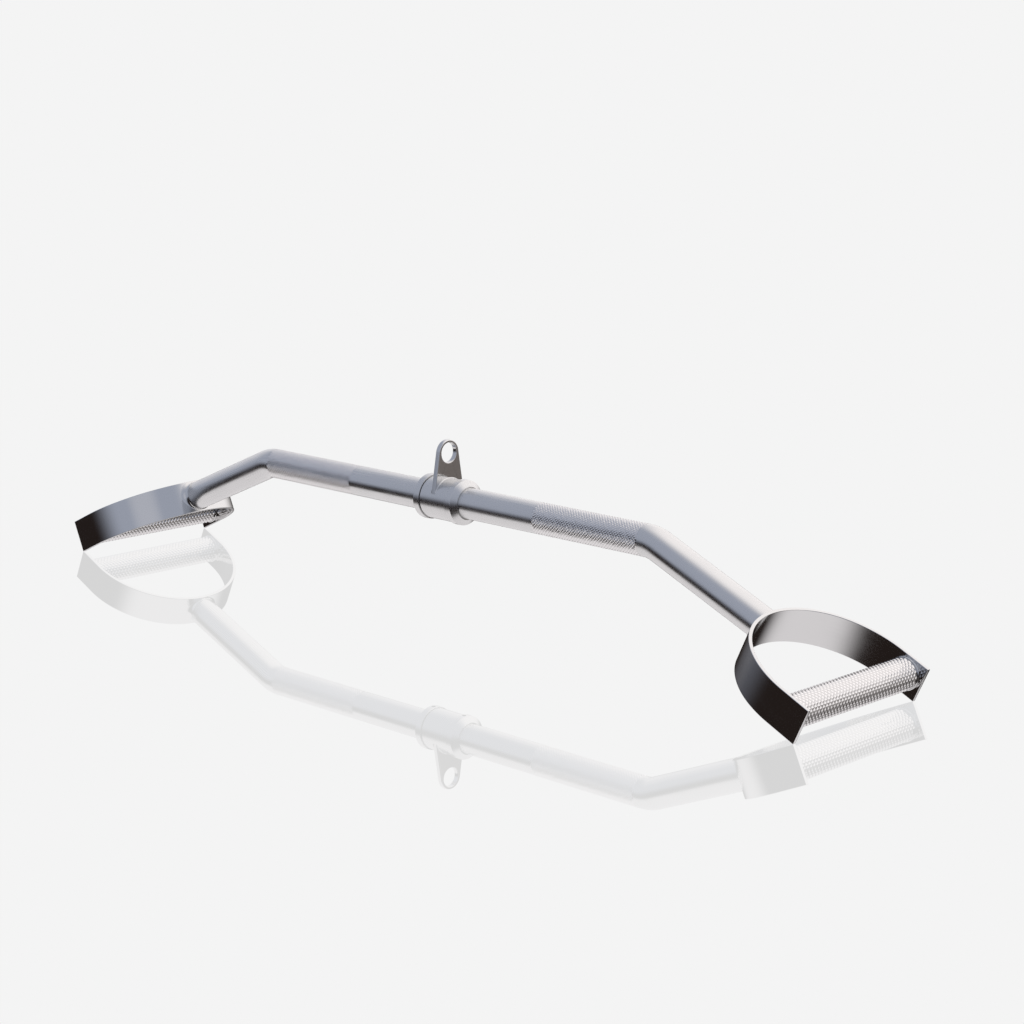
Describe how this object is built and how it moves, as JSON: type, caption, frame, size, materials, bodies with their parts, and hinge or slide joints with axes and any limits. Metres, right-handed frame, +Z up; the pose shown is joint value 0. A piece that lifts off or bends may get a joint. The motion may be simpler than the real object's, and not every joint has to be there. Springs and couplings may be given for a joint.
{
  "type": "shovel handle cable bar",
  "caption": "Bent steel cable bar for pull-down stations, with a knurled grip across a D-shaped strap handle at each end and a swivelling hanger eye at its middle",
  "frame": {"origin": "on the floor plane under the middle of the bar, where the part stands on the lower corners of its handle straps", "axes": "+X along the bar to the right handle, +Y away from the side shown, +Z up, the way the hanger eye points"},
  "size_m": [0.9348, 0.158, 0.164],
  "materials": {
    "bar": "satin plated tube",
    "strap": "satin plated flat steel",
    "knurl": "plated diamond knurling",
    "hanger": "satin plated turned steel",
    "weld": "ground and plated weld",
    "bush": "sintered bronze",
    "screw": "black oxide"
  },
  "bodies": {
    "handle_bar": {"bar": "bar", "right_handle_strap": "strap", "right_grip": "knurl", "right_grip_weld_front": "weld", "right_grip_weld_back": "weld", "right_leg_weld": "weld", "right_collar": "hanger", "right_collar_screw": "screw", "left_handle_strap": "strap", "left_grip": "knurl", "left_grip_weld_front": "weld", "left_grip_weld_back": "weld", "left_leg_weld": "weld", "left_collar": "hanger", "left_collar_screw": "screw"},
    "hanger": {"swivel_sleeve": "hanger", "eye_plate": "hanger", "right_bush": "bush", "left_bush": "bush", "right_eye_weld": "weld", "left_eye_weld": "weld"}
  },
  "joints": [
    {"name": "hanger_swivel", "type": "hinge", "parent": "handle_bar", "child": "hanger", "pos_m": [0, 0, 0.10958], "axis": [1, 0, 0], "continuous": true}
  ]
}
